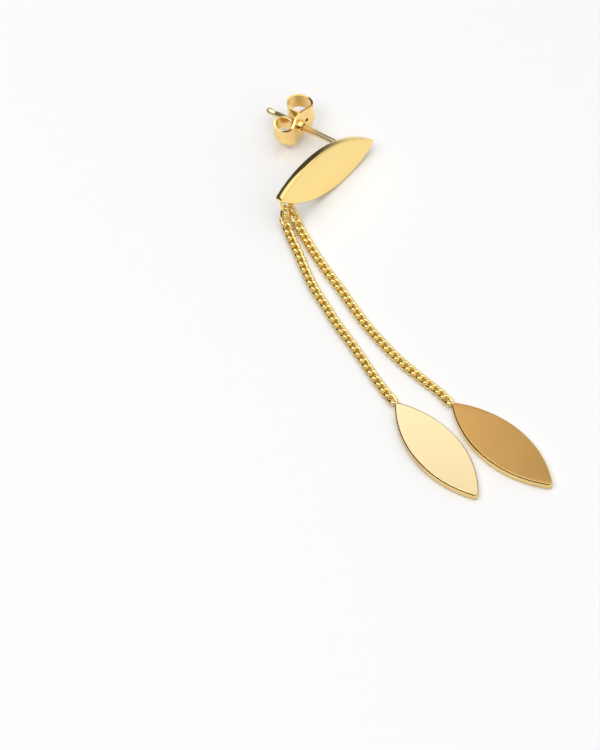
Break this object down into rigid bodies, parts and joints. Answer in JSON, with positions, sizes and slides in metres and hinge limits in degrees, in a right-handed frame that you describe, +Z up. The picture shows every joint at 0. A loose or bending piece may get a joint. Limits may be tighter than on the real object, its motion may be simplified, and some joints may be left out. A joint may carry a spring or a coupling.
{
  "type": "drop earring",
  "caption": "Gold stud earring with a navette plate, a butterfly clutch on its post and curb chains that carry navette pendants.",
  "frame": {"origin": "on the surface, under the middle of the bounding box of the whole earring as it lies", "axes": "+Z up from the surface; +Y from the pendants' lower tips towards the stud; +X to the right seen from the pendants"},
  "size_m": [0.0212, 0.0642, 0.0064],
  "materials": {
    "polished_gold": "polished gold plating",
    "satin_gold": "satin gold plating",
    "chain_gold": "polished gold plating",
    "clutch_gold": "polished gold plating"
  },
  "bodies": {
    "earring": {"ear_stud": "polished_gold", "chain_polished": "chain_gold", "chain_matte": "chain_gold", "pendant_polished": "polished_gold", "pendant_matte": "satin_gold"},
    "clutch": {"ear_clutch": "clutch_gold"}
  },
  "joints": [
    {"name": "clutch_slide", "type": "slide", "parent": "earring", "child": "clutch", "axis": [-0.354, 0.928, -0.1166], "range_m": [-0.005, 0.0044]}
  ]
}
